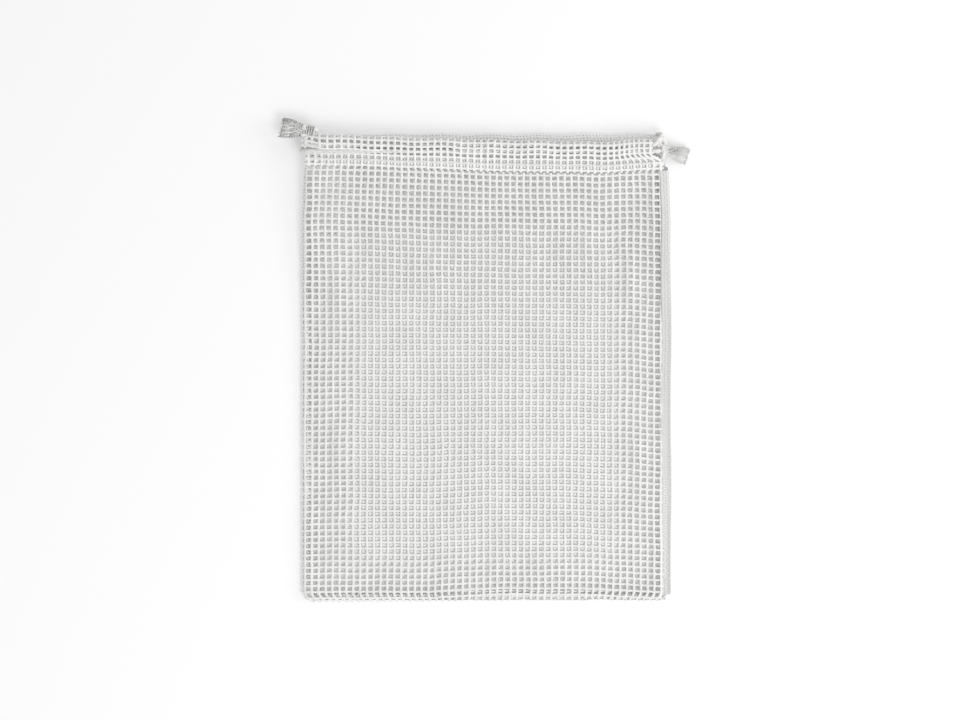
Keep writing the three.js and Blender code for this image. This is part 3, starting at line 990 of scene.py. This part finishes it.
# ---- operators ----
class BAG_OT_stage(Operator):
    """Puts up the camera, the floor and the lights"""

    bl_idname = "laundry_bag.stage"
    bl_label = "Camera, Floor and Lights"

    def execute(self, context):
        settings = context.scene.bag_stage
        lens = bpy.data.cameras.new("camera")
        lens.lens = settings.focal_length
        lens.sensor_width = 36.0
        lens.clip_end = 20.0
        camera = link_object("camera", lens)
        camera.location = (-0.0049, 0.0063, settings.camera_height)
        context.scene.camera = camera

        mesh = bpy.data.meshes.new("floor")
        mesh.from_pydata([(-4, -4, 0), (4, -4, 0), (4, 4, 0), (-4, 4, 0)], [], [(0, 1, 2, 3)])
        finish = bpy.data.materials.new("floor_paper")
        finish.use_nodes = True
        tree = finish.node_tree
        fill(tree, tree.nodes["Principled BSDF"], {
            "Base Color": (*settings.floor_colour, 1.0), "Roughness": 0.9,
            "Emission Color": (1.0, 1.0, 1.0, 1.0), "Emission Strength": settings.floor_glow,
        })
        mesh.materials.append(finish)
        floor = link_object("floor", mesh)

        world = context.scene.world or bpy.data.worlds.new("world")
        context.scene.world = world
        world.use_nodes = True
        tree = world.node_tree
        sockets = {"Color": (1.0, 1.0, 1.0, 1.0), "Strength": settings.sky}
        fill(tree, tree.nodes["Background"], sockets)

        for name, power, size, place in (
            ("key_light", settings.key, 1.2, (1.0, -1.15, 1.9)),
            ("side_light", settings.key * 0.46, 0.8, (1.9, 0.1, 0.9)),
        ):
            data = bpy.data.lights.new(name, "AREA")
            data.energy = power
            data.size = size
            light = link_object(name, data)
            light.location = place
            light.rotation_euler = (-Vector(place)).to_track_quat("-Z", "Y").to_euler()
        context.scene.view_settings.view_transform = "Standard"
        return {"FINISHED"}


class BAG_OT_drawcords(Operator):
    """Lays the two drawcords, their knots and their frayed ends"""

    bl_idname = "laundry_bag.drawcords"
    bl_label = "Drawcords"

    def execute(self, context):
        settings = cord_settings()
        radius = settings.diameter / 2 / MM
        lay = settings.lay / MM
        for name, way in CORD_WAYS.items():
            body = name + "_drawcord"
            line = even_line(cord_route(way), 1.5)
            cord = tubes_piece(name + "_rope", [rope_tube(line, radius, lay)], cord_cotton())
            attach(cord, body)
            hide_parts(body)
            centre = place_beyond(way["side"], way["lane"], way["knot"], "front")
            tip = place_beyond(way["side"], way["lane"], (*way["tip"], 1), "front")
            shift, size, turn = way["tied"]
            knot = rope_tube(knot_line(centre + shift, size, turn), radius * 0.93, lay, closed=True)
            tied = tubes_piece(name + "_overhand_knot", [knot], cord_cotton(), closed=True)
            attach(tied, body)
            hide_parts(name + "_knot")
            start, end, spread, curl = way["tail"]
            strands = settings.frayed_strands
            tubes = frayed_tail(centre + start, tip + end, spread, strands, way["seed"], curl)
            finish = frayed_cotton(name + "_frayed_cotton", way["shade"])
            tails = tubes_piece(name + "_frayed_ends", tubes, finish)
            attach(tails, body)
            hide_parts(name + "_tail_upper", name + "_tail_lower")
            out = place_beyond(way["side"], way["lane"], (0, 0, 0), "front") * MM
        return {"FINISHED"}


class BAG_OT_nets(Operator):
    """Knits the front and the back net, each in two halves"""

    bl_idname = "laundry_bag.nets"
    bl_label = "Front and Back Nets"

    def execute(self, context):
        settle_front()
        # The back net's material lifts it with painted light against the front cloth's shade; the front net's
        # material darkens it with painted shade.
        for name, cloth, columns, rows, width, finish in (
            ("back", back_cloth, BACK_COLUMNS, BACK_ROWS, 1.3, BACK_PAINTED_LIGHT),
            ("front", front_cloth, FRONT_COLUMNS, FRONT_ROWS, 1.0, FRONT_PAINTED_SHADE),
        ):
            for side, right in HALVES:
                shown = columns - LEFT_COLUMNS if right else LEFT_COLUMNS
                place = half_of(cloth, right, LEFT_COLUMNS / columns)
                piece, size = net_piece(
                    f"{name}_net_{side}", place, shown, rows, width=width, finish=finish
                )
                if not right:
                    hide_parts(name + "_panel")
                follows_cord(piece)
        return {"FINISHED"}


class BAG_OT_casings(Operator):
    """Folds the net over the cords into the front and the back casing"""

    bl_idname = "laundry_bag.casings"
    bl_label = "Casings"

    def execute(self, context):
        flat_edge = lambda x: np.full_like(x, TOP)
        # The back casing shares the back net's painted light.
        for name, shape, (columns, rows, steps), finish in (
            ("back", (BACK_SECTION, flat_edge, 0.0, (-146.0, 139.0, 0.0), 1.4), (54, 25, 2), BACK_PAINTED_LIGHT),
            ("front", (FRONT_SECTION, front_top, 2.5, (-149.4, 135.0, 2.4), 2.8), (27, 14, 4), PLAIN_FINISH),
        ):
            cloth = casing_cloth(*shape)
            for side, right in HALVES:
                place = half_of(cloth, right)
                piece, _ = net_piece(
                    f"{name}_casing_{side}", place, columns, rows, steps, wander=0.8, finish=finish
                )
                if not right:
                    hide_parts(name + "_hem")
                follows_cord(piece)
        return {"FINISHED"}


class BAG_OT_seams(Operator):
    """Turns in the allowances along the sides and the bottom"""

    bl_idname = "laundry_bag.seams"
    bl_label = "Seam Allowances"

    def execute(self, context):
        for name, right in HALVES:
            piece, _ = net_piece(f"{name}_seam_allowance", side_allowance(right), 5, 67)
            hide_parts(name + "_side_seam")
            follows_cord(piece)
        piece, _ = net_piece("bottom_seam_allowance", bottom_allowance, 50, 5)
        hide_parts("bottom_seam")
        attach(piece, "bag")
        # The rolled strip's material darkens it with painted shade.
        roll, _ = net_piece(
            "right_seam_roll", right_roll, 9, 150, steps=2, per_hole=1, wander=0.5, bulge=0.1,
            width=1.12, finish=ROLL_PAINTED_SHADE,
        )
        follows_cord(roll)
        return {"FINISHED"}


class BAG_OT_stitches(Operator):
    """Sews the casings, the sides and the bottom"""

    bl_idname = "laundry_bag.stitches"
    bl_label = "Stitches"

    def execute(self, context):
        for name, edge, height, back in (
            ("back", lambda x: TOP, 3.7, 19.6), ("front", front_top, 15.3, 19.4),
        ):
            for side, low, high, right in (("left", -141.0, -0.4, False), ("right", 0.4, 134.0, True)):
                x = np.linspace(low, high, 60)
                rows = [(a, float(edge(a)) - back, height) for a in x]
                piece = stitch_piece(f"{name}_casing_stitches_{side}", rows)
                if not right:
                    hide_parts(name + "_hem_thread")
                follows_cord(piece)
        for name, right in HALVES:
            y = np.linspace(BOTTOM + 20, 160.0, 120)
            inward = -SEAM_LINE if right else SEAM_LINE
            points = [(float(side_edge(a, right)) + inward, a, 4.05) for a in y]
            piece = stitch_piece(f"{name}_seam_stitches", points, slant=0.9, spacing=0.62)
            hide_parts(name + "_seam_thread")
            follows_cord(piece)
        points = [(a, BOTTOM + SEAM_LINE, 4.0) for a in np.linspace(-129.0, 129.0, 100)]
        piece = stitch_piece("bottom_seam_stitches", points, slant=0.9, spacing=0.62)
        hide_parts("bottom_seam_thread")
        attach(piece, "bag")
        return {"FINISHED"}


class BAG_PT_pieces(Panel):
    """Lists the bag's pieces and their settings"""

    bl_idname = "BAG_PT_pieces"
    bl_label = "Mesh Laundry Bag"
    bl_space_type = "VIEW_3D"
    bl_region_type = "UI"
    bl_category = "Laundry Bag"

    def draw(self, context):
        for operator in OPERATORS:
            self.layout.operator(operator.bl_idname, text=operator.bl_label)
        for name, kind, label in SETTINGS:
            box = self.layout.box()
            box.label(text=label)
            for key in kind.__annotations__:
                box.prop(getattr(context.scene, name), key)


OPERATORS = (BAG_OT_stage, BAG_OT_drawcords, BAG_OT_nets, BAG_OT_casings, BAG_OT_seams, BAG_OT_stitches)
SETTINGS = (
    ("bag_net", NetSettings, "Net"), ("bag_cord", CordSettings, "Cords"),
    ("bag_stitch", StitchSettings, "Stitches"), ("bag_stage", StageSettings, "Stage"),
)


def register():
    for name, group, _ in SETTINGS:
        bpy.utils.register_class(group)
        setattr(bpy.types.Scene, name, PointerProperty(type=group))
    for kind in (*OPERATORS, BAG_PT_pieces):
        bpy.utils.register_class(kind)


def unregister():
    for kind in (BAG_PT_pieces, *reversed(OPERATORS)):
        bpy.utils.unregister_class(kind)
    for name, group, _ in reversed(SETTINGS):
        delattr(bpy.types.Scene, name)
        bpy.utils.unregister_class(group)


def main():
    register()
    bpy.ops.laundry_bag.stage()
    bpy.ops.laundry_bag.drawcords()
    bpy.ops.laundry_bag.nets()
    bpy.ops.laundry_bag.casings()
    bpy.ops.laundry_bag.seams()
    bpy.ops.laundry_bag.stitches()


if __name__ == "__main__":
    main()
